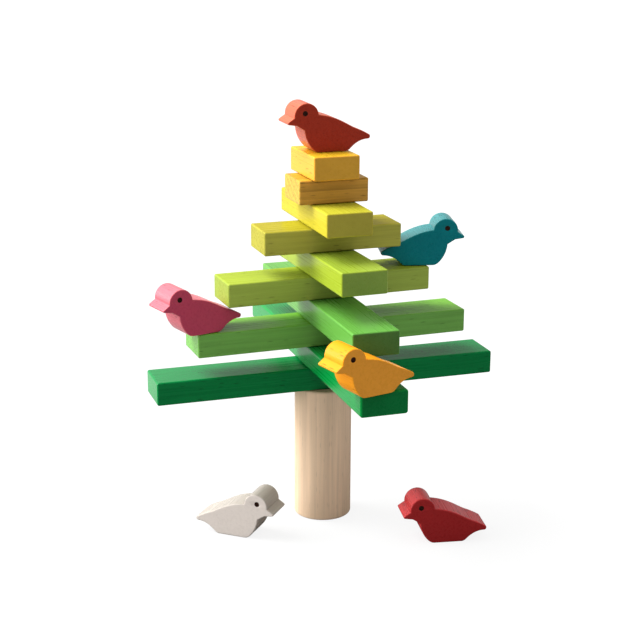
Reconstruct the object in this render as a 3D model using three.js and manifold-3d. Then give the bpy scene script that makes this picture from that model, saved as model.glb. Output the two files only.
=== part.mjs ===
// Balancing tree game: a round trunk, ten crossed branches in five shrinking pairs, and six flat birds.
// Millimetres, +Z up. The origin is the middle of the trunk's foot, and +X runs along the lowest branch.

import * as THREE from 'three';
import { RoundedBoxGeometry } from 'three/addons/geometries/RoundedBoxGeometry.js';
import { mergeVertices, toCreasedNormals } from 'three/addons/utils/BufferGeometryUtils.js';
import Module from 'manifold-3d';

const wasm = await Module();
wasm.setup();

// Trunk
const trunkDiameter = 41;
const trunkHeight = 98;
const trunkRim = 1.5; // rounding of both ends

// Branches: plain bars in pairs, each pair laid crosswise
const branchWidth = 33;
const branchThickness = 16.6;
const branchRounding = 1.1;
const longestBranch = 250;
const branchStep = 50; // how much shorter each pair is than the pair under it

// Fits
const seatGap = 0.3; // under each piece that rests on another
const sweepGap = 0.6; // from a perched bird to the circle in which the branch above its tail turns

// Birds: flat cut-outs, measured from the middle of the seat with the beak to the left
const birdThickness = 22;
const birdRounding = 0.8;
const seatLength = 23.4;
const headRadius = 8.8;
const headForward = 18.6; // the head's centre ahead of the seat's middle
const headRise = 25; // the head's centre above the seat
const napeAngle = 5; // degrees round the head to where the back meets it
const browAngle = 186; // degrees round the head to where the beak starts
const beakLength = 4.6; // beyond the head's circle
const beakDrop = 4.5; // the tip's centre below the head's centre
const beakTipRadius = 1.1;
const beakTopAngle = 125; // degrees round the beak's tip, from its upper edge
const beakUnderAngle = 262; // and to its lower edge
const chin = [-6.9, -6.4]; // from the head's centre
const throat = [-1.5, -9.8]; // from the head's centre
const tailReach = 27.6; // behind the seat's middle
const tailRise = 9.4;
const tailTipRadius = 1.7;
const tailTopAngle = 60; // degrees round the tail's tip to where its upper edge starts
const tailRoot = [17.5, 15.4]; // where the back dips into the tail

// Curve handles of the bird, each from the end of the curve that it belongs to
const rumpHandles = [[3.8, 4.5], [-6, -0.1]];
const tailTopHandle = [4, -1.5];
const backHandles = [[-6.5, 2.5], [13.7, -1.4]];
const breastHandles = [[0.5, -6.2], [-4.8, 3.5]];

// Eyes: one shallow drilled dot on each face
const eyeDiameter = 3.6;
const eyeDepth = 0.8;
const eyeOffset = [-1.1, 1.9]; // from the head's centre

// Each branch from the trunk up: its middle along and aside from the stack's axis, and its turn from square
const stacking = [
  { along: 0.7, aside: 2.5, turn: -1.2 },
  { along: 1.7, aside: 0, turn: -1 },
  { along: 2.8, aside: -0.9, turn: 0.9 },
  { along: -2.8, aside: -0.7, turn: -0.7 },
  { along: -0.9, aside: -0.8, turn: 1.7 },
  { along: -1.1, aside: -0.1, turn: 1.1 },
  { along: 0.9, aside: -1.9, turn: -0.2 },
  { along: 0.1, aside: -1.1, turn: -0.5 },
  { along: 0.8, aside: -2.1, turn: -0.2 },
  { along: 0.5, aside: -0.5, turn: 0.2 },
];

// Where the birds stand: aside from the middle of a perch, along and aside on the top, or x and y on the table
const yellowAside = 9.4;
const pinkAside = -6.2;
const tealAside = -3.3;
const coralPlace = [3.3, -3.3];
const whitePlace = [-69.4, -14.6];
const redPlace = [66, -72.3];

// Birds on the ends of branches: the level and end of the perch, and the turn on it
const perchedBirds = [
  { name: 'bird_yellow', colour: 0xe2a33a, level: 1, end: -1, aside: yellowAside, turn: -76.2 },
  { name: 'bird_pink', colour: 0xc9506e, level: 2, end: -1, aside: pinkAside, turn: 12.8 },
  { name: 'bird_teal', colour: 0x1d8c96, level: 4, end: 1, aside: tealAside, turn: 163.7 },
];

// The bird on the topmost branch, and the two that stand beside the trunk
const topBird = { name: 'bird_coral', colour: 0xcf4a35, place: coralPlace, turn: -90.6 };
const groundBirds = [
  { name: 'bird_white', colour: 0xe9e4dc, place: whitePlace, turn: 139.3 },
  { name: 'bird_red', colour: 0xb8292c, place: redPlace, turn: -10.8 },
];

// Finishes
const trunkColour = 0xdcc3a3;
const pairColours = [0x0f7040, 0x6fa84a, 0x9fb244, 0xc2bc45, 0xcf9f4c];
const stainRoughness = 0.5;
const bareRoughness = 0.65;

// Mesh fineness
const trunkSides = 56;
const rimSteps = 3;
const branchEdgeSteps = 2;
const birdEdgeSteps = 2;
const eyeSides = 20;
const curveSteps = 8;
const headSteps = 14;
const tipSteps = 4;
const fineSteps = 120; // for reading a height off the outline
const mergeDistance = 1e-4;
const creaseAngle = THREE.MathUtils.degToRad(35);

// A mesh with its finish

function woodPiece(name, geometry, colour, roughness) {
  const material = new THREE.MeshStandardMaterial({ color: colour, roughness, metalness: 0 });
  const piece = new THREE.Mesh(geometry, material);
  piece.name = name;
  return piece;
}

// Closed solids, for cutting

function solidOf(geometry) {
  const bare = geometry.clone();
  bare.deleteAttribute('normal');
  bare.deleteAttribute('uv');
  const merged = mergeVertices(bare, mergeDistance);
  return new wasm.Manifold(new wasm.Mesh({
    numProp: 3,
    vertProperties: new Float32Array(merged.attributes.position.array),
    triVerts: new Uint32Array(merged.index.array),
  }));
}

function geometryOf(solid) {
  const mesh = solid.getMesh();
  const geometry = new THREE.BufferGeometry();
  geometry.setAttribute('position', new THREE.BufferAttribute(mesh.vertProperties.slice(), 3));
  geometry.setIndex(new THREE.BufferAttribute(mesh.triVerts.slice(), 1));
  return toCreasedNormals(geometry, creaseAngle);
}

// Branch lengths, by level from the trunk up

function lengthAt(level) {
  return longestBranch - Math.floor(level / 2) * branchStep;
}

// Trunk: a post with both rims rounded

function trunkGeometry() {
  const radius = trunkDiameter / 2;
  const inset = radius - trunkRim;
  const footRim = new THREE.EllipseCurve(inset, trunkRim, trunkRim, trunkRim, -Math.PI / 2, 0);
  const topRim = new THREE.EllipseCurve(inset, trunkHeight - trunkRim, trunkRim, trunkRim, 0, Math.PI / 2);
  const profile = [
    new THREE.Vector2(0, 0),
    ...footRim.getPoints(rimSteps),
    ...topRim.getPoints(rimSteps),
    new THREE.Vector2(0, trunkHeight),
  ];
  return new THREE.LatheGeometry(profile, trunkSides).rotateX(Math.PI / 2);
}

// Bird outline, anticlockwise from the front of the seat

function curveBetween(from, to, handles) {
  const [leave, arrive] = handles.map(([x, y]) => new THREE.Vector2(x, y));
  return new THREE.CubicBezierCurve(from, leave.add(from), arrive.add(to), to);
}

function birdOutline(steps, arcSteps, roundSteps) {
  const at = (origin, [x, y]) => new THREE.Vector2(origin.x + x, origin.y + y);
  const arc = (centre, radius, from, to) => new THREE.EllipseCurve(
    centre.x, centre.y, radius, radius,
    THREE.MathUtils.degToRad(from), THREE.MathUtils.degToRad(to),
  );
  const seatFront = new THREE.Vector2(-seatLength / 2, 0);
  const seatBack = new THREE.Vector2(seatLength / 2, 0);
  const head = new THREE.Vector2(-headForward, headRise);
  const beakTip = at(head, [beakTipRadius - headRadius - beakLength, -beakDrop]);
  const tailTip = new THREE.Vector2(tailReach - tailTipRadius, tailRise);
  const root = new THREE.Vector2(...tailRoot);
  const throatPoint = at(head, throat);

  const tailArc = arc(tailTip, tailTipRadius, -90, tailTopAngle);
  const headArc = arc(head, headRadius, napeAngle, browAngle);
  const beakArc = arc(beakTip, beakTipRadius, beakTopAngle, beakUnderAngle);
  const rump = curveBetween(seatBack, tailArc.getPoint(0), rumpHandles);
  const tailTop = new THREE.QuadraticBezierCurve(tailArc.getPoint(1), at(root, tailTopHandle), root);
  const back = curveBetween(root, headArc.getPoint(0), backHandles);
  const breast = curveBetween(throatPoint, seatFront, breastHandles);

  // Each stretch leaves out its last point, which is the next stretch's first
  const stretch = (curve, count) => curve.getPoints(count).slice(0, -1);
  return [
    seatFront,
    ...stretch(rump, steps),
    ...stretch(tailArc, roundSteps),
    ...stretch(tailTop, steps),
    ...stretch(back, steps),
    ...headArc.getPoints(arcSteps),
    ...beakArc.getPoints(roundSteps),
    at(head, chin),
    ...stretch(breast, steps),
  ];
}

// Bird: the outline cut from a board, edges eased, with an eye on each face

function eyeDrill(face) {
  const drill = new THREE.CylinderGeometry(eyeDiameter / 2, eyeDiameter / 2, 2 * eyeDepth, eyeSides);
  drill.translate(eyeOffset[0] - headForward, face * birdThickness / 2, eyeOffset[1] + headRise);
  return solidOf(drill);
}

function birdGeometry() {
  const board = new THREE.ExtrudeGeometry(new THREE.Shape(birdOutline(curveSteps, headSteps, tipSteps)), {
    depth: birdThickness - 2 * birdRounding,
    bevelThickness: birdRounding,
    bevelSize: birdRounding,
    bevelOffset: -birdRounding,
    bevelSegments: birdEdgeSteps,
  });
  board.translate(0, 0, birdRounding - birdThickness / 2);
  board.rotateX(Math.PI / 2);
  return geometryOf(solidOf(board).subtract(eyeDrill(-1)).subtract(eyeDrill(1)));
}

// The circle in which a branch's rounded corners turn, and how far out a bird sits to stay clear of it

function sweptRadius(level) {
  const { along, aside } = stacking[level];
  const reach = lengthAt(level) / 2 + Math.abs(along) - branchRounding;
  return Math.hypot(reach, branchWidth / 2 + Math.abs(aside) - branchRounding) + branchRounding;
}

function perchDistance(bird, radius) {
  const clear = radius + sweepGap;
  const turn = THREE.MathUtils.degToRad(bird.turn);
  const centre = new THREE.Vector2();
  const distances = birdOutline(fineSteps, fineSteps, fineSteps)
    .filter((point) => point.y >= branchThickness)
    .flatMap((point) => [-1, 1].map((face) => {
      const corner = new THREE.Vector2(point.x, face * birdThickness / 2).rotateAround(centre, turn);
      const aside = Math.min(Math.abs(bird.aside + corner.y), clear);
      return Math.sqrt(clear ** 2 - aside ** 2) - bird.end * corner.x;
    }));
  return Math.max(...distances);
}

// The whole game

const game = new THREE.Group();
game.add(woodPiece('trunk', trunkGeometry(), trunkColour, bareRoughness));

const birdShape = birdGeometry();

// Branches, each in a layer that turns about the stack's axis
const layers = stacking.map(({ along, aside, turn }, level) => {
  const layer = new THREE.Group();
  layer.position.z = trunkHeight + seatGap + level * (branchThickness + seatGap);
  layer.rotation.z = (level % 2) * Math.PI / 2 + THREE.MathUtils.degToRad(turn);
  const bar = new RoundedBoxGeometry(
    lengthAt(level), branchWidth, branchThickness, branchEdgeSteps, branchRounding,
  );
  const name = `branch_${String(level + 1).padStart(2, '0')}`;
  const branch = woodPiece(name, bar, pairColours[Math.floor(level / 2)], stainRoughness);
  branch.position.set(along, aside, branchThickness / 2);
  layer.add(branch);
  game.add(layer);
  return layer;
});

// Birds, each in the layer of its perch or on the ground
function placeBird({ name, colour, turn }, parent, [x, y], z) {
  const bird = woodPiece(name, birdShape, colour, stainRoughness);
  bird.position.set(x, y, z);
  bird.rotation.z = THREE.MathUtils.degToRad(turn);
  parent.add(bird);
}

const seatHeight = branchThickness + seatGap;
for (const bird of perchedBirds) {
  const distance = perchDistance(bird, sweptRadius(bird.level + 2));
  placeBird(bird, layers[bird.level], [bird.end * distance, bird.aside], seatHeight);
}
placeBird(topBird, layers.at(-1), topBird.place, seatHeight);
for (const bird of groundBirds) {
  placeBird(bird, game, bird.place, 0);
}

export default game;
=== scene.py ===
# Balancing tree game: a trunk, ten branches and six birds dressed over the frame, in metres with +Z up

import math

import bpy
from mathutils import Euler, Matrix, Vector
from mathutils.geometry import tessellate_polygon


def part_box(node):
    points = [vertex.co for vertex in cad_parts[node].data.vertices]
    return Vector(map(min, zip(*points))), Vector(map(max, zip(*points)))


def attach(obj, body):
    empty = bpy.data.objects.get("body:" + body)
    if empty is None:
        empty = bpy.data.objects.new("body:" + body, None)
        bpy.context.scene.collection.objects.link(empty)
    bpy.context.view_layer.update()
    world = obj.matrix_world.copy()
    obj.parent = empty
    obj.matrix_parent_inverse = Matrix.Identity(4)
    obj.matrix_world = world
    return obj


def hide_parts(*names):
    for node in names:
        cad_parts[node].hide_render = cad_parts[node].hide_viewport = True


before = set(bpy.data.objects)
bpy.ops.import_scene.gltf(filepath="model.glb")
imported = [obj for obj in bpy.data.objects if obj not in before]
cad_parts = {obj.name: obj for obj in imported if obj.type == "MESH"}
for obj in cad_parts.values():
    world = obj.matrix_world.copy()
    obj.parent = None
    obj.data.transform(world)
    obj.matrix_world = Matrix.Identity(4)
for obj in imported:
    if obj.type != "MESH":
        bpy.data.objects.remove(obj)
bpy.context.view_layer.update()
scene = bpy.context.scene
mm = 0.001


# Node helpers

def put(tree, kind, inputs=None, **settings):
    node = tree.nodes.new(kind)
    for name, value in settings.items():
        setattr(node, name, value)
    for key, value in (inputs or {}).items():
        socket = node.inputs[key]
        if isinstance(value, bpy.types.NodeSocket):
            tree.links.new(value, socket)
        else:
            socket.default_value = value
    return node


def vectorMath(tree, operation, first, second=None):
    inputs = {0: first}
    if second is not None:
        inputs[1] = second
    node = put(tree, "ShaderNodeVectorMath", inputs, operation=operation)
    return node.outputs["Value" if operation == "DOT_PRODUCT" else "Vector"]


def maths(tree, operation, first, second=None, third=None):
    inputs = {0: first}
    if second is not None:
        inputs[1] = second
    if third is not None:
        inputs[2] = third
    return put(tree, "ShaderNodeMath", inputs, operation=operation).outputs[0]


def spread(tree, value, low, high, toLow, toHigh):
    inputs = {"Value": value, "From Min": low, "From Max": high, "To Min": toLow, "To Max": toHigh}
    return put(tree, "ShaderNodeMapRange", inputs).outputs["Result"]


# Colours are given as screen values and turned to linear light

def linear(colour):
    shares = [value / 255 for value in colour]
    light = [s / 12.92 if s <= 0.04045 else ((s + 0.055) / 1.055) ** 2.4 for s in shares]
    return (*light, 1.0)


def scaled(colour, factor):
    return tuple(min(1.0, value * factor) for value in colour[:3]) + (1.0,)


# Wood: fibres, growth rings and pores run along the local X of the place given

woodGrain = {
    "streakSize": (0.012, 0.5, 0.5),
    "streakNoise": (4.0, 0.6, 0.5),  # detail, roughness and distortion, as in the two below
    "fibreSize": (0.03, 2.2, 2.2),
    "fibreNoise": (2.0, 0.6, 0.0),
    "blotchSize": (0.015, 0.05, 0.05),
    "blotchNoise": (2.0, 0.5, 0.3),
    "seedStep": (91.0, 7.3, 5.1),
    "ringScale": 0.06,
    "ringBend": 1.6,
    "ringNoise": (2.0, 1.0, 0.5),  # detail, its scale and its roughness
    "ringStretch": (0.02, 1.0, 1.0),
    "pith": (0.0, 31.0, -43.0),
    "pithStep": (3.7, 1.0, -2.0),
    "poreSize": (0.085, 0.6, 0.6),
    "poreEdge": (0.1, 0.24),
    "poreShare": 0.45,
    "endPower": 4.0,
    "glossSpread": 0.12,
    "fibreRelief": 0.35,
    "bumpHeight": 0.12 * mm,
}


def toneRamp(tree, tone, base, look):
    ramp = put(tree, "ShaderNodeValToRGB", {"Fac": tone})
    stops = ramp.color_ramp.elements
    stops[0].color = scaled(base, look["dark"])
    stops[1].color = scaled(base, look["light"])
    stops.new(0.5).color = base
    return ramp.outputs["Color"]


def woodFinish(name, look, centre, turn, seed):
    grain = woodGrain
    material = bpy.data.materials.new(name)
    material.use_nodes = True
    tree = material.node_tree
    shader = tree.nodes["Principled BSDF"]
    coords = put(tree, "ShaderNodeTexCoord")
    place = put(tree, "ShaderNodeMapping", {
        "Vector": coords.outputs["Object"], "Location": centre, "Rotation": turn, "Scale": (mm, mm, mm),
    }, vector_type="TEXTURE")
    start = tuple(seed * step for step in grain["seedStep"])
    local = vectorMath(tree, "ADD", place.outputs["Vector"], start)

    def noise(size, kind):
        detail, roughness, distortion = kind
        stretched = vectorMath(tree, "MULTIPLY", local, size)
        node = put(tree, "ShaderNodeTexNoise", {
            "Vector": stretched, "Scale": 1.0, "Detail": detail, "Roughness": roughness,
            "Distortion": distortion,
        })
        return node.outputs["Fac"]

    broad = look["broad"]
    streak = noise(tuple(size / broad for size in grain["streakSize"]), grain["streakNoise"])
    fibre = noise(grain["fibreSize"], grain["fibreNoise"])
    blotch = noise(grain["blotchSize"], grain["blotchNoise"])

    # Growth rings
    slow = vectorMath(tree, "MULTIPLY", place.outputs["Vector"], grain["ringStretch"])
    pith = tuple(first + seed * step for first, step in zip(grain["pith"], grain["pithStep"]))
    aside = vectorMath(tree, "ADD", slow, pith)
    detail, detailScale, detailRoughness = grain["ringNoise"]
    rings = put(tree, "ShaderNodeTexWave", {
        "Vector": aside, "Scale": grain["ringScale"] * look["rings"], "Distortion": grain["ringBend"],
        "Detail": detail, "Detail Scale": detailScale, "Detail Roughness": detailRoughness,
    }, wave_type="RINGS", rings_direction="X", wave_profile="SAW").outputs["Fac"]

    # Pores
    cells = put(tree, "ShaderNodeTexVoronoi", {
        "Vector": vectorMath(tree, "MULTIPLY", local, grain["poreSize"]), "Scale": 1.0, "Randomness": 1.0,
    })
    dots = spread(tree, cells.outputs["Distance"], *grain["poreEdge"], 1.0, 0.0)
    chance = put(tree, "ShaderNodeSeparateColor", {"Color": cells.outputs["Color"]}).outputs["Red"]
    pores = maths(tree, "MULTIPLY", dots, maths(tree, "LESS_THAN", chance, grain["poreShare"]))

    # Tone of the stain: each pattern shifts it about the middle, and pores darken it, less on end grain
    tone = maths(tree, "MULTIPLY_ADD", streak, look["streak"], 0.5 - look["streak"] / 2)
    for pattern, amount in ((fibre, look["fibre"]), (blotch, look["blotch"]), (rings, -look["ring"])):
        level = maths(tree, "SUBTRACT", tone, amount / 2)
        tone = maths(tree, "MULTIPLY_ADD", pattern, amount, level)
    endTone = maths(tree, "MULTIPLY_ADD", pores, -look["endPore"], tone)
    tone = maths(tree, "MULTIPLY_ADD", pores, -look["pore"], tone)

    # End grain takes the stain in its own way; on some bars the top and bottom get a colour of their own,
    # which is painted light and shade, set for how light falls on the tops
    along = Euler(turn).to_matrix() @ Vector((1.0, 0.0, 0.0))
    facing = vectorMath(tree, "DOT_PRODUCT", coords.outputs["Normal"], tuple(along))
    ends = maths(tree, "POWER", maths(tree, "ABSOLUTE", facing), grain["endPower"])
    sides = toneRamp(tree, tone, linear(look["colour"]), look)
    # Painted light and shade: faces turned up or down take the top colour, a lit and shaded copy of the
    # stain
    if "paintedTopLightColour" in look:
        paintedTopLight = toneRamp(tree, tone, linear(look["paintedTopLightColour"]), look)
        upward = vectorMath(tree, "DOT_PRODUCT", coords.outputs["Normal"], (0.0, 0.0, 1.0))
        paintedTopShare = maths(tree, "POWER", maths(tree, "ABSOLUTE", upward), grain["endPower"])
        sides = put(tree, "ShaderNodeMix", {0: paintedTopShare, 6: sides, 7: paintedTopLight}, data_type="RGBA").outputs[2]
    tips = toneRamp(tree, endTone, linear(look["endColour"]), look)
    stained = put(tree, "ShaderNodeMix", {0: ends, 6: sides, 7: tips}, data_type="RGBA").outputs[2]

    # Gloss follows the streaks, pores are sunk and fibres stand up
    least = look["roughness"] - grain["glossSpread"] / 2
    gloss = maths(tree, "MULTIPLY_ADD", streak, grain["glossSpread"], least)
    raised = maths(tree, "MULTIPLY", fibre, grain["fibreRelief"])
    relief = maths(tree, "SUBTRACT", raised, pores)
    bump = put(tree, "ShaderNodeBump", {
        "Strength": look["bump"], "Distance": grain["bumpHeight"], "Height": relief,
    })
    tree.links.new(stained, shader.inputs["Base Color"])
    tree.links.new(gloss, shader.inputs["Roughness"])
    tree.links.new(bump.outputs["Normal"], shader.inputs["Normal"])
    shader.inputs["Specular IOR Level"].default_value = look["specular"]
    shader.inputs["Coat Weight"].default_value = look["coat"]
    shader.inputs["Coat Roughness"].default_value = look["coatRoughness"]
    shader.inputs["IOR"].default_value = look["index"]
    shader.inputs["Coat IOR"].default_value = look["index"]
    return material


def inkFinish(name, look):
    material = bpy.data.materials.new(name)
    material.use_nodes = True
    tree = material.node_tree
    shader = tree.nodes["Principled BSDF"]
    coords = put(tree, "ShaderNodeTexCoord")
    speck = put(tree, "ShaderNodeTexNoise", {
        "Vector": coords.outputs["Object"], "Scale": look["grainScale"], "Detail": look["detail"],
    }).outputs["Fac"]
    ramp = put(tree, "ShaderNodeValToRGB", {"Fac": speck})
    dark, pale = ramp.color_ramp.elements
    dark.position, pale.position = look["stops"]
    dark.color = linear(look["dark"])
    pale.color = linear(look["colour"])
    bump = put(tree, "ShaderNodeBump", {
        "Strength": look["bump"], "Distance": look["bumpHeight"], "Height": speck,
    })
    tree.links.new(ramp.outputs["Color"], shader.inputs["Base Color"])
    tree.links.new(bump.outputs["Normal"], shader.inputs["Normal"])
    shader.inputs["Roughness"].default_value = look["roughness"]
    shader.inputs["Specular IOR Level"].default_value = look["specular"]
    return material


# Every stained piece starts from this look and changes what differs

stainLook = {
    "streak": 0.42, "fibre": 0.25, "blotch": 0.3, "ring": 0.07, "pore": 0.4, "endPore": 0.2,
    "rings": 1.0, "broad": 1.0, "dark": 0.45, "light": 1.5,
    "roughness": 0.28, "specular": 0.5, "coat": 0.12, "coatRoughness": 0.25, "index": 1.2, "bump": 0.35,
}
mattSheen = {"specular": 0.15, "coat": 0.0}
calmGrain = {"streak": 0.12, "fibre": 0.12, "ring": 0.03, "pore": 0.2, "bump": 0.12}


# Places are read off the frame's own meshes

def cornersOf(name):
    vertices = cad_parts[name].data.vertices
    points = {tuple(round(value, 7) for value in vertex.co) for vertex in vertices}
    return [Vector(point) for point in sorted(points)]


def lieOf(points):
    middle = sum(points, Vector()) / len(points)
    xx = sum((p.x - middle.x) ** 2 for p in points)
    yy = sum((p.y - middle.y) ** 2 for p in points)
    xy = sum((p.x - middle.x) * (p.y - middle.y) for p in points)
    return middle, 0.5 * math.atan2(2 * xy, xx - yy)


def newPiece(name, mesh, node):
    piece = bpy.data.objects.new(name, mesh)
    scene.collection.objects.link(piece)
    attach(piece, node)
    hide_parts(node)
    return piece


creaseAngle = math.radians(33)


def meshOf(name, points, faces, finishes, inked=()):
    mesh = bpy.data.meshes.new(name)
    mesh.from_pydata(points, [], faces)
    for finish in finishes:
        mesh.materials.append(finish)
    for number in inked:
        mesh.polygons[number].material_index = 1
    mesh.shade_smooth()
    mesh.set_sharp_from_angle(angle=creaseAngle)
    mesh.validate()
    return mesh


# Trunk

trunkValues = {
    "rim": 1.5 * mm,
    "rimSteps": 6,
    "rimShoulder": 0.4 * mm,
    "sides": 128,
    "rows": 16,
    "seed": 3.0,
    "look": {
        **stainLook, "colour": (230, 200, 169), "endColour": (214, 184, 150), "streak": 1.15, "fibre": 0.5,
        "broad": 2.3, "ring": 0.09, "rings": 0.75, "pore": 0.25, "dark": 0.72, "light": 1.22,
        "roughness": 0.5, "coat": 0.0, "bump": 0.3,
    },
}


def lathe(profile, sides):
    points = []
    faces = []
    for radius, height in profile[1:-1]:
        for side in range(sides):
            angle = 2 * math.pi * side / sides
            points.append((radius * math.cos(angle), radius * math.sin(angle), height))
    rings = len(profile) - 2
    for ring in range(rings - 1):
        for side in range(sides):
            after = (side + 1) % sides
            faces.append((ring * sides + side, ring * sides + after,
                          (ring + 1) * sides + after, (ring + 1) * sides + side))
    foot = len(points)
    points.append((0.0, 0.0, profile[0][1]))
    points.append((0.0, 0.0, profile[-1][1]))
    last = (rings - 1) * sides
    for side in range(sides):
        after = (side + 1) % sides
        faces.append((foot, after, side))
        faces.append((foot + 1, last + side, last + after))
    return points, faces


def buildTrunk():
    values = trunkValues
    low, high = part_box("trunk")
    radius = (high[0] - low[0]) / 2
    rim = values["rim"]
    arc = [math.pi / 2 * step / values["rimSteps"] for step in range(values["rimSteps"] + 1)]
    shoulder = values["rimShoulder"]
    profile = [(0.0, low[2]), (radius - rim - shoulder, low[2])]
    profile += [(radius - rim + rim * math.sin(a), low[2] + rim - rim * math.cos(a)) for a in arc]
    floorRow = low[2] + rim + shoulder
    topRow = high[2] - rim - shoulder
    for row in range(values["rows"] + 1):
        profile.append((radius, floorRow + (topRow - floorRow) * row / values["rows"]))
    profile += [(radius - rim + rim * math.cos(a), high[2] - rim + rim * math.sin(a)) for a in arc]
    profile += [(radius - rim - shoulder, high[2]), (0.0, high[2])]
    upright = (0.0, -math.pi / 2, 0.0)
    finish = woodFinish("naturalWood", values["look"], (0.0, 0.0, 0.0), upright, values["seed"])
    points, faces = lathe(profile, values["sides"])
    newPiece("trunkPost", meshOf("trunkPost", points, faces, [finish]), "trunk")


buildTrunk()
print("trunk built")


# Branches: one rule for all bars, a block whose edges and corners are rounded and slightly uneven

branchValues = {
    "rounding": 1.1 * mm,
    "softerRounding": {"branch_01": 1.4 * mm, "branch_02": 1.9 * mm},
    "shoulder": 0.25 * mm,
    "wear": 0.15 * mm,
    "wearScale": 120.0,
    "wearDetail": 2.0,
    "seedStep": 1.7,
    "cells": (60, 16, 12),
    "edgeCells": 4,
}

# Each top colour here is painted light and shade on the bar's top and bottom faces, not a colour of the
# stain
branchLooks = {
    "branch_01": ("dark_green_stain", {
        "colour": (2, 116, 58), "paintedTopLightColour": (2, 124, 60), "endColour": (3, 138, 63), "coat": 0.5,
    }),
    "branch_02": ("dark_green_stain", {
        **calmGrain, "colour": (2, 137, 58), "endColour": (2, 107, 51), "coat": 0.7,
    }),
    "branch_03": ("leaf_green_stain", {
        "colour": (106, 161, 75), "paintedTopLightColour": (110, 170, 52), "endColour": (109, 172, 71), "coat": 0.2,
    }),
    "branch_04": ("leaf_green_stain", {
        **calmGrain, "colour": (94, 158, 64), "endColour": (71, 117, 58), "coat": 0.6,
    }),
    "branch_05": ("lime_stain", {
        **mattSheen, "colour": (148, 167, 74), "paintedTopLightColour": (148, 165, 46), "endColour": (143, 164, 61),
    }),
    "branch_06": ("lime_stain", {
        **calmGrain, "colour": (151, 171, 46), "paintedTopLightColour": (143, 166, 52), "endColour": (121, 148, 66),
        "coat": 0.3,
    }),
    "branch_07": ("yellow_stain", {
        **mattSheen, "colour": (166, 163, 72), "paintedTopLightColour": (160, 150, 34), "endColour": (163, 157, 54),
    }),
    "branch_08": ("yellow_stain", {
        **calmGrain, **mattSheen, "colour": (188, 176, 51), "paintedTopLightColour": (177, 172, 48),
        "endColour": (160, 150, 62),
    }),
    "branch_09": ("golden_stain", {
        "colour": (188, 140, 60), "paintedTopLightColour": (184, 147, 46), "endColour": (200, 165, 61),
        "streak": 0.8, "ring": 0.3, "coat": 0.0,
    }),
    "branch_10": ("golden_stain", {
        **calmGrain, "colour": (244, 168, 58), "paintedTopLightColour": (229, 181, 42), "endColour": (198, 149, 53),
        "pore": 0.6, "endPore": 0.6, "coat": 0.0,
    }),
}


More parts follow.
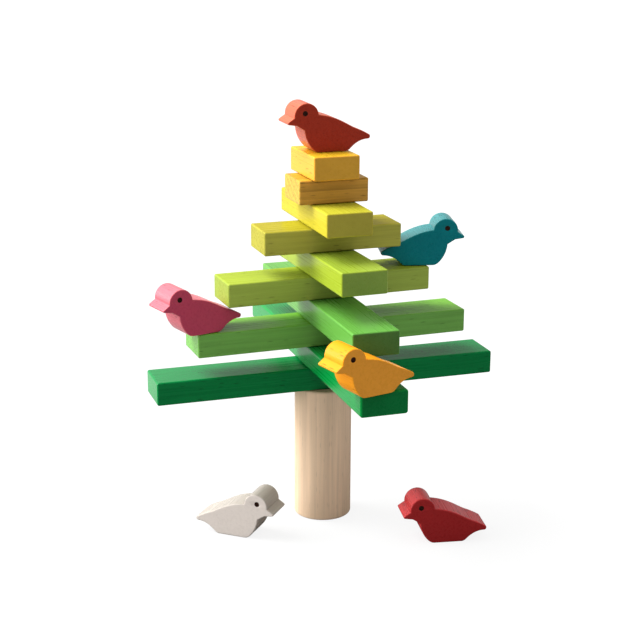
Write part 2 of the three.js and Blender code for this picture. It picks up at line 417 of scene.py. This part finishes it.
def barTree():
    values = branchValues
    tree = bpy.data.node_groups.new("sandedBar", "GeometryNodeTree")
    sockets = (
        ("Size", "NodeSocketVector"), ("Rounding", "NodeSocketFloat"), ("Shoulder", "NodeSocketFloat"),
        ("Wear", "NodeSocketFloat"), ("Wear Scale", "NodeSocketFloat"), ("Centre", "NodeSocketVector"),
        ("Turn", "NodeSocketFloat"), ("Finish", "NodeSocketMaterial"),
    )
    for name, kind in sockets:
        tree.interface.new_socket(name, in_out="INPUT", socket_type=kind)
    tree.interface.new_socket("Bar", in_out="OUTPUT", socket_type="NodeSocketGeometry")
    given = put(tree, "NodeGroupInput").outputs
    cells = values["cells"]
    block = put(tree, "GeometryNodeMeshCube", {
        "Size": (2.0, 2.0, 2.0), "Vertices X": cells[0] + 1, "Vertices Y": cells[1] + 1,
        "Vertices Z": cells[2] + 1,
    })
    position = put(tree, "GeometryNodeInputPosition").outputs[0]
    away = vectorMath(tree, "ABSOLUTE", position)
    side = vectorMath(tree, "SIGN", position)

    def ramp(start, end, top):
        node = put(tree, "ShaderNodeMapRange", {6: away, 7: start, 8: end, 9: (0.0, 0.0, 0.0), 10: top},
                   data_type="FLOAT_VECTOR")
        return node.outputs["Vector"]

    # Flat part, a narrow shoulder, then the rounding
    edge = values["edgeCells"]
    edgeStart = tuple(1 - 2 * edge / count for count in cells)
    shoulderStart = tuple(1 - 2 * (edge + 1) / count for count in cells)
    rounding = given["Rounding"]
    shoulder = given["Shoulder"]
    half = vectorMath(tree, "MULTIPLY", given["Size"], (0.5, 0.5, 0.5))
    trim = maths(tree, "ADD", rounding, shoulder)
    flat = ramp((0.0, 0.0, 0.0), shoulderStart, vectorMath(tree, "SUBTRACT", half, trim))
    core = vectorMath(tree, "ADD", flat, ramp(shoulderStart, edgeStart, shoulder))
    quarter = math.pi / 4
    lean = vectorMath(tree, "TANGENT", ramp(edgeStart, (1.0, 1.0, 1.0), (quarter, quarter, quarter)))
    outward = vectorMath(tree, "NORMALIZE", lean)

    # Edges are worn a little unevenly, faces not at all
    parts = put(tree, "ShaderNodeSeparateXYZ", {0: outward}).outputs
    most = maths(tree, "MAXIMUM", maths(tree, "MAXIMUM", parts[0], parts[1]), parts[2])
    edged = maths(tree, "SUBTRACT", 1.0, most)
    shape = vectorMath(tree, "MULTIPLY", side, vectorMath(tree, "ADD", core, vectorMath(
        tree, "MULTIPLY", outward, rounding)))
    spot = vectorMath(tree, "ADD", shape, given["Centre"])
    uneven = put(tree, "ShaderNodeTexNoise", {
        "Vector": spot, "Scale": given["Wear Scale"], "Detail": values["wearDetail"],
    })
    depth = maths(tree, "MULTIPLY", maths(tree, "MULTIPLY", uneven.outputs["Fac"], edged), given["Wear"])
    worn = vectorMath(tree, "MULTIPLY", vectorMath(tree, "MULTIPLY", side, outward), depth)
    moved = put(tree, "GeometryNodeSetPosition", {
        "Geometry": block.outputs["Mesh"], "Position": vectorMath(tree, "SUBTRACT", shape, worn),
    })
    turned = put(tree, "ShaderNodeCombineXYZ", {"Z": given["Turn"]})
    placed = put(tree, "GeometryNodeTransform", {
        "Geometry": moved.outputs[0], "Translation": given["Centre"], "Rotation": turned.outputs[0],
    })
    smooth = put(tree, "GeometryNodeSetShadeSmooth", {"Geometry": placed.outputs[0]})
    whole = put(tree, "GeometryNodeRealizeInstances", {"Geometry": smooth.outputs[0]})
    finished = put(tree, "GeometryNodeSetMaterial", {
        "Geometry": whole.outputs[0], "Material": given["Finish"],
    })
    put(tree, "NodeGroupOutput", {"Bar": finished.outputs[0]})
    return tree


def grown(name, tree, inputs):
    holder = bpy.data.objects.new(name, bpy.data.meshes.new(name + "Seed"))
    scene.collection.objects.link(holder)
    growth = holder.modifiers.new("growth", "NODES")
    growth.node_group = tree
    for item in tree.interface.items_tree:
        if item.in_out == "INPUT":
            growth[item.identifier] = inputs[item.name]
    depsgraph = bpy.context.evaluated_depsgraph_get()
    mesh = bpy.data.meshes.new_from_object(holder.evaluated_get(depsgraph), depsgraph=depsgraph)
    holder.modifiers.remove(growth)
    seed = holder.data
    bpy.data.objects.remove(holder)
    bpy.data.meshes.remove(seed)
    mesh.name = name
    return mesh


def buildBranch(number, node, tree):
    values = branchValues
    slot, changes = branchLooks[node]
    points = cornersOf(node)
    centre, turn = lieOf(points)
    level = [Matrix.Rotation(-turn, 3, "Z") @ (point - centre) for point in points]
    size = tuple(max(p[axis] for p in level) - min(p[axis] for p in level) for axis in range(3))
    look = {**stainLook, **changes}
    finish = woodFinish(node + "Stain", look, centre, (0.0, 0.0, turn), number * values["seedStep"])
    rounding = values["softerRounding"].get(node, values["rounding"])
    mesh = grown(node + "Bar", tree, {
        "Size": size, "Rounding": rounding, "Shoulder": values["shoulder"], "Wear": values["wear"],
        "Wear Scale": values["wearScale"], "Centre": tuple(centre), "Turn": turn, "Finish": finish,
    })
    newPiece(node + "Bar", mesh, node)


sandedBar = barTree()
for number, node in enumerate(branchLooks, 1):
    buildBranch(number, node, sandedBar)
print("branches built")


# Birds: one outline for all, in millimetres from the middle of the seat with the beak to the left

birdValues = {
    "thickness": 22.0,
    "rounding": 0.8,
    "shoulder": 0.2,
    "edgeSteps": 4,
    "seatLength": 23.4,
    "head": (-18.6, 25.0),
    "headRadius": 8.8,
    "headAngles": (5.0, 186.0),
    "beakTip": (-12.3, -4.5),
    "beakTipRadius": 1.1,
    "beakAngles": (125.0, 262.0),
    "chin": (-6.9, -6.4),
    "throat": (-1.5, -9.8),
    "tailTip": (25.9, 9.4),
    "tailTipRadius": 1.7,
    "tailAngles": (-90.0, 60.0),
    "tailRoot": (17.5, 15.4),
    "rumpHandles": ((3.8, 4.5), (-6.0, -0.1)),
    "tailTopHandle": (4.0, -1.5),
    "backHandles": ((-6.5, 2.5), (13.7, -1.4)),
    "breastHandles": ((0.5, -6.2), (-4.8, 3.5)),
    "cornerReach": 2.2,
    "cornerSteps": 8,
    "curveSteps": 28,
    "headSteps": 48,
    "tipSteps": 12,
    "eye": (-1.1, 1.9),
    "eyeRadius": 1.8,
    "eyeSteps": 40,
    "eyeProfile": ((0.16, 0.0), (0.05, 0.04), (0.0, 0.15), (0.0, 0.7), (-0.15, 0.8)),
    "inkedFrom": 2,
    "sameSpot": 0.01,
    "sharpest": 0.35,
    "footBand": 0.01 * mm,
    "crestBand": 3.0 * mm,
    "seedStep": 2.3,
    "grain": {"streak": 0.25, "blotch": 0.15, "ring": 0.03},
}

eyeLook = {
    "colour": (70, 38, 27), "dark": (36, 18, 13), "stops": (0.3, 0.75), "grainScale": 900.0, "detail": 3.0,
    "bump": 0.3, "bumpHeight": 0.05 * mm, "roughness": 0.6, "specular": 0.1,
}
eyeInk = inkFinish("eyeInk", eyeLook)

birdLooks = {
    "bird_yellow": ("amber_stain", 1, {
        "colour": (238, 152, 28), "endColour": (216, 144, 47), "pore": 0.7, "specular": 0.45, "coat": 0.0,
    }),
    "bird_pink": ("pink_stain", 2, {"colour": (209, 106, 117), "endColour": (176, 62, 89)}),
    "bird_teal": ("teal_stain", 3, {"colour": (60, 134, 136), "endColour": (2, 118, 126), "pore": 0.9}),
    "bird_coral": ("coral_stain", 4, {"colour": (202, 95, 67), "endColour": (155, 48, 31), "pore": 0.6}),
    "bird_white": ("white_stain", 5, {
        "colour": (179, 170, 160), "endColour": (210, 200, 192), "streak": 0.4, "fibre": 0.3,
        "dark": 0.72, "light": 1.14,
    }),
    "bird_red": ("red_stain", 6, {
        "colour": (194, 58, 60), "endColour": (159, 36, 37), "pore": 0.9, "coat": 0.3,
    }),
}


def arcPoints(centre, radius, angles, steps):
    turns = [math.radians(angles[0] + (angles[1] - angles[0]) * step / steps) for step in range(steps + 1)]
    return [Vector((centre[0] + radius * math.cos(a), centre[1] + radius * math.sin(a))) for a in turns]


def bezierPoints(controls, steps):
    points = []
    for step in range(steps + 1):
        row = [Vector(control) for control in controls]
        while len(row) > 1:
            row = [first.lerp(second, step / steps) for first, second in zip(row, row[1:])]
        points.append(row[0])
    return points


# The two corners of the seat, at the ends of the outline, are sanded round

def softened(outline, reach, steps):
    back, front = outline[0], outline[-1]
    kept = [p for p in outline if min((p - back).length, (p - front).length) > reach]
    inward = (front - back).normalized() * reach
    rear = bezierPoints((back + inward, back, kept[0]), steps)
    fore = bezierPoints((kept[-1], front, front - inward), steps)
    return rear[:-1] + kept + fore[1:]


def birdOutline():
    values = birdValues
    head = Vector(values["head"])
    steps = values["curveSteps"]
    back = Vector((values["seatLength"] / 2, 0.0))
    front = Vector((-values["seatLength"] / 2, 0.0))
    tail = arcPoints(values["tailTip"], values["tailTipRadius"], values["tailAngles"], values["tipSteps"])
    crown = arcPoints(head, values["headRadius"], values["headAngles"], values["headSteps"])
    beak = arcPoints(head + Vector(values["beakTip"]), values["beakTipRadius"], values["beakAngles"],
                     values["tipSteps"])
    root = Vector(values["tailRoot"])
    throat = head + Vector(values["throat"])

    def cubic(start, end, handles):
        return bezierPoints((start, start + Vector(handles[0]), end + Vector(handles[1]), end), steps)

    rump = cubic(back, tail[0], values["rumpHandles"])
    tailTop = bezierPoints((tail[-1], root + Vector(values["tailTopHandle"]), root), steps)
    nape = cubic(root, crown[0], values["backHandles"])
    breast = cubic(throat, front, values["breastHandles"])
    outline = []
    for run in (rump, tail, tailTop, nape, crown, beak, [head + Vector(values["chin"])], breast):
        for point in run:
            if not outline or (point - outline[-1]).length > values["sameSpot"]:
                outline.append(point)
    return softened(outline, values["cornerReach"], values["cornerSteps"])


# How far each outline point moves inward for a unit of inset

def insetsOf(outline):
    moves = []
    count = len(outline)
    for number, point in enumerate(outline):
        before = (point - outline[number - 1]).normalized()
        after = (outline[(number + 1) % count] - point).normalized()
        normals = [Vector((-run.y, run.x)) for run in (before, after)]
        middle = (normals[0] + normals[1]).normalized()
        moves.append(middle / max(birdValues["sharpest"], middle.dot(normals[0])))
    return moves


def birdShape():
    values = birdValues
    outline = birdOutline()
    moves = insetsOf(outline)
    count = len(outline)
    half = values["thickness"] / 2
    rounding = values["rounding"]
    steps = values["edgeSteps"]
    arc = [math.pi / 2 * step / steps for step in range(steps + 1)]
    rows = [(0.0, half - rounding - values["shoulder"])]
    rows += [(rounding * (1 - math.cos(a)), half - rounding + rounding * math.sin(a)) for a in arc]
    rows.append((rounding + values["shoulder"], half))
    rows = [(inset, -depth) for inset, depth in reversed(rows)] + rows
    points = []
    faces = []
    inked = []
    for inset, depth in rows:
        for point, move in zip(outline, moves):
            place = point + move * inset
            points.append((place.x, depth, place.y))
    for row in range(len(rows) - 1):
        for number in range(count):
            after = (number + 1) % count
            low = row * count
            high = low + count
            faces.append((low + number, high + number, high + after, low + after))

    # Each face is filled round its eye, and the eye is sunk into it
    eye = Vector(values["head"]) + Vector(values["eye"])
    around = values["eyeSteps"]
    for side, first in ((-1, 0), (1, (len(rows) - 1) * count)):
        loops = []
        for extra, depth in values["eyeProfile"]:
            loops.append(len(points))
            ring = arcPoints(eye, values["eyeRadius"] + extra, (0.0, 360.0), around)[:-1]
            points.extend((p.x, side * (half - depth), p.y) for p in ring)
        rim = [first + number for number in range(count)]
        hole = [loops[0] + number for number in range(around)]
        flat = [[Vector((points[n][0], points[n][2], 0.0)) for n in loop] for loop in (rim, hole)]
        order = rim + hole
        for triangle in tessellate_polygon(flat):
            a, b, c = (order[n] for n in triangle)
            spin = (points[b][0] - points[a][0]) * (points[c][2] - points[a][2])
            spin -= (points[c][0] - points[a][0]) * (points[b][2] - points[a][2])
            faces.append((a, b, c) if spin * side < 0 else (a, c, b))
        for row, (low, high) in enumerate(zip(loops, loops[1:])):
            for number in range(around):
                after = (number + 1) % around
                quad = (low + number, low + after, high + after, high + number)
                if row + 1 >= values["inkedFrom"]:
                    inked.append(len(faces))
                faces.append(quad if side < 0 else tuple(reversed(quad)))
        bottom = tuple(loops[-1] + number for number in range(around))
        inked.append(len(faces))
        faces.append(bottom if side < 0 else tuple(reversed(bottom)))
    return points, faces, inked


def buildBird(node, shape):
    values = birdValues
    slot, seed, changes = birdLooks[node]
    corners = cornersOf(node)
    yaw = lieOf(corners)[1]
    floorHeight = min(point.z for point in corners)
    crest = max(point.z for point in corners)
    feet = [point for point in corners if point.z < floorHeight + values["footBand"]]
    seat = sum(feet, Vector()) / len(feet)
    top = [point for point in corners if point.z > crest - values["crestBand"]]
    ahead = sum(top, Vector()) / len(top) - seat  # the head is the highest part, towards the beak
    if ahead.x * math.cos(yaw) + ahead.y * math.sin(yaw) > 0:
        yaw += math.pi
    place = Matrix.Translation(seat) @ Matrix.Rotation(yaw, 4, "Z") @ Matrix.Scale(mm, 4)
    points, faces, inked = shape
    placed = [place @ Vector(point) for point in points]
    look = {**stainLook, **values["grain"], **changes}
    through = (0.0, 0.0, yaw + math.pi / 2)
    finish = woodFinish(node + "Stain", look, seat, through, seed * values["seedStep"])
    mesh = meshOf(node + "Block", placed, faces, [finish, eyeInk], inked)
    newPiece(node + "Block", mesh, node)


birdForm = birdShape()
for node in birdLooks:
    buildBird(node, birdForm)
print("birds built")


# Floor and surroundings: white to the eye, and in reflections pale behind the object and dim ahead of it

studioValues = {
    "floorSize": 30.0,
    "floorBounce": 0.34,
    "floorSeen": 0.85,
    "floorWhite": 0.86,
    "floorDim": (0.05, 0.4),
    "ambient": 0.9,
    "horizonAmbient": 0.15,
    "sideDim": (0.18, 0.34),
    "sideLeast": 0.5,
    "frontLeast": 0.03,
    "mirrored": 0.85,
    "mirrorRise": (-0.2, 0.3),
    "skyRise": (0.0, 0.6),
    "keyStrength": 4.6,
    "keyAngle": 40.0,
    "keyDirection": (-0.5, 0.34, 0.8),
    "sideStrength": 3.4,
    "sideAngle": 50.0,
    "sideDirection": (-0.88, 0.42, 0.2),
}


def buildFloor():
    values = studioValues
    reach = values["floorSize"] / 2
    mesh = bpy.data.meshes.new("floor")
    corners = [(-reach, -reach, 0.0), (reach, -reach, 0.0), (reach, reach, 0.0), (-reach, reach, 0.0)]
    mesh.from_pydata(corners, [], [(0, 1, 2, 3)])
    floor = bpy.data.objects.new("floor", mesh)
    scene.collection.objects.link(floor)
    material = bpy.data.materials.new("floorPaper")
    material.use_nodes = True
    tree = material.node_tree
    tree.nodes.remove(tree.nodes["Principled BSDF"])
    path = put(tree, "ShaderNodeLightPath").outputs
    coords = put(tree, "ShaderNodeTexCoord").outputs["Object"]
    along = put(tree, "ShaderNodeSeparateXYZ", {0: coords}).outputs["Y"]
    behind = spread(tree, along, *values["floorDim"], 0.0, 1.0)
    reflected = maths(tree, "MAXIMUM", path["Is Glossy Ray"], path["Is Transmission Ray"])
    mirrored = maths(tree, "MULTIPLY", reflected, behind)
    hidden = maths(tree, "SUBTRACT", reflected, mirrored)
    bounce = maths(tree, "MULTIPLY", maths(tree, "SUBTRACT", 1.0, hidden), values["floorBounce"])
    extra = values["floorSeen"] - values["floorBounce"]
    tint = maths(tree, "MULTIPLY_ADD", path["Is Camera Ray"], extra, bounce)
    paper = put(tree, "ShaderNodeBsdfDiffuse", {"Color": tint})
    white = put(tree, "ShaderNodeEmission", {"Color": (1.0, 1.0, 1.0, 1.0), "Strength": 1.0})
    seen = maths(tree, "MAXIMUM", path["Is Camera Ray"], mirrored)
    share = maths(tree, "MULTIPLY", seen, values["floorWhite"])
    mixed = put(tree, "ShaderNodeMixShader", {0: share, 1: paper.outputs[0], 2: white.outputs[0]})
    tree.links.new(mixed.outputs[0], tree.nodes["Material Output"].inputs["Surface"])
    mesh.materials.append(material)


def buildWorld():
    values = studioValues
    world = bpy.data.worlds.new("studio")
    world.use_nodes = True
    tree = world.node_tree
    tree.nodes.remove(tree.nodes["Background"])
    path = put(tree, "ShaderNodeLightPath").outputs
    coords = put(tree, "ShaderNodeTexCoord").outputs["Generated"]
    across = put(tree, "ShaderNodeSeparateXYZ", {0: coords}).outputs
    aside = spread(tree, across["X"], *values["sideDim"], 1.0, values["sideLeast"])
    behind = spread(tree, across["Y"], *values["mirrorRise"], values["frontLeast"], values["mirrored"])
    reflected = maths(tree, "MAXIMUM", path["Is Glossy Ray"], path["Is Transmission Ray"])
    mirrored = maths(tree, "MULTIPLY", maths(tree, "MULTIPLY", aside, behind), reflected)
    seen = maths(tree, "MAXIMUM", path["Is Camera Ray"], mirrored)
    height = spread(tree, across["Z"], *values["skyRise"], values["horizonAmbient"], 1.0)
    soft = maths(tree, "MULTIPLY", height, values["ambient"])
    white = (1.0, 1.0, 1.0, 1.0)
    dim = put(tree, "ShaderNodeBackground", {"Color": white, "Strength": soft})
    bright = put(tree, "ShaderNodeBackground", {"Color": white, "Strength": seen})
    indirect = maths(tree, "MAXIMUM", path["Is Camera Ray"], reflected)
    mixed = put(tree, "ShaderNodeMixShader", {0: indirect, 1: dim.outputs[0], 2: bright.outputs[0]})
    tree.links.new(mixed.outputs[0], tree.nodes["World Output"].inputs["Surface"])
    world.cycles.sampling_method = "NONE"  # so that each ray kind sees its own version
    scene.world = world


def buildLight(name):
    values = studioValues
    light = bpy.data.lights.new(name, "SUN")
    light.energy = values[name + "Strength"]
    light.angle = math.radians(values[name + "Angle"])
    lamp = bpy.data.objects.new(name, light)
    scene.collection.objects.link(lamp)
    direction = Vector(values[name + "Direction"]).normalized()
    lamp.location = direction
    lamp.rotation_euler = direction.to_track_quat("Z", "Y").to_euler()


# Camera, matched to the photograph

cameraValues = {
    "azimuth": -19.821,
    "elevation": 16.155,
    "roll": 0.32,
    "distance": 1.055856,
    "target": (0.0, 0.0, 0.145469),
    "focal": 1484.295,
    "middle": (323.433, 320.141),
    "picture": 640.0,
    "sensor": 36.0,
}


def buildCamera():
    values = cameraValues
    azimuth = math.radians(values["azimuth"])
    elevation = math.radians(values["elevation"])
    roll = math.radians(values["roll"])
    backward = Vector((math.sin(azimuth) * math.cos(elevation), -math.cos(azimuth) * math.cos(elevation),
                       math.sin(elevation)))
    level = Vector((0.0, 0.0, 1.0)).cross(backward).normalized()
    upright = backward.cross(level)
    right = level * math.cos(roll) + upright * math.sin(roll)
    up = upright * math.cos(roll) - level * math.sin(roll)
    lens = bpy.data.cameras.new("camera")
    lens.sensor_width = values["sensor"]
    lens.lens = values["focal"] / values["picture"] * values["sensor"]
    lens.shift_x = (values["picture"] / 2 - values["middle"][0]) / values["picture"]
    lens.shift_y = (values["middle"][1] - values["picture"] / 2) / values["picture"]
    camera = bpy.data.objects.new("camera", lens)
    scene.collection.objects.link(camera)
    turned = Matrix((right, up, backward)).transposed().to_4x4()
    place = Vector(values["target"]) + backward * values["distance"]
    camera.matrix_world = Matrix.Translation(place) @ turned
    scene.camera = camera


buildFloor()
buildWorld()
buildLight("key")
buildLight("side")
buildCamera()
scene.view_settings.view_transform = "Standard"
print("studio built")
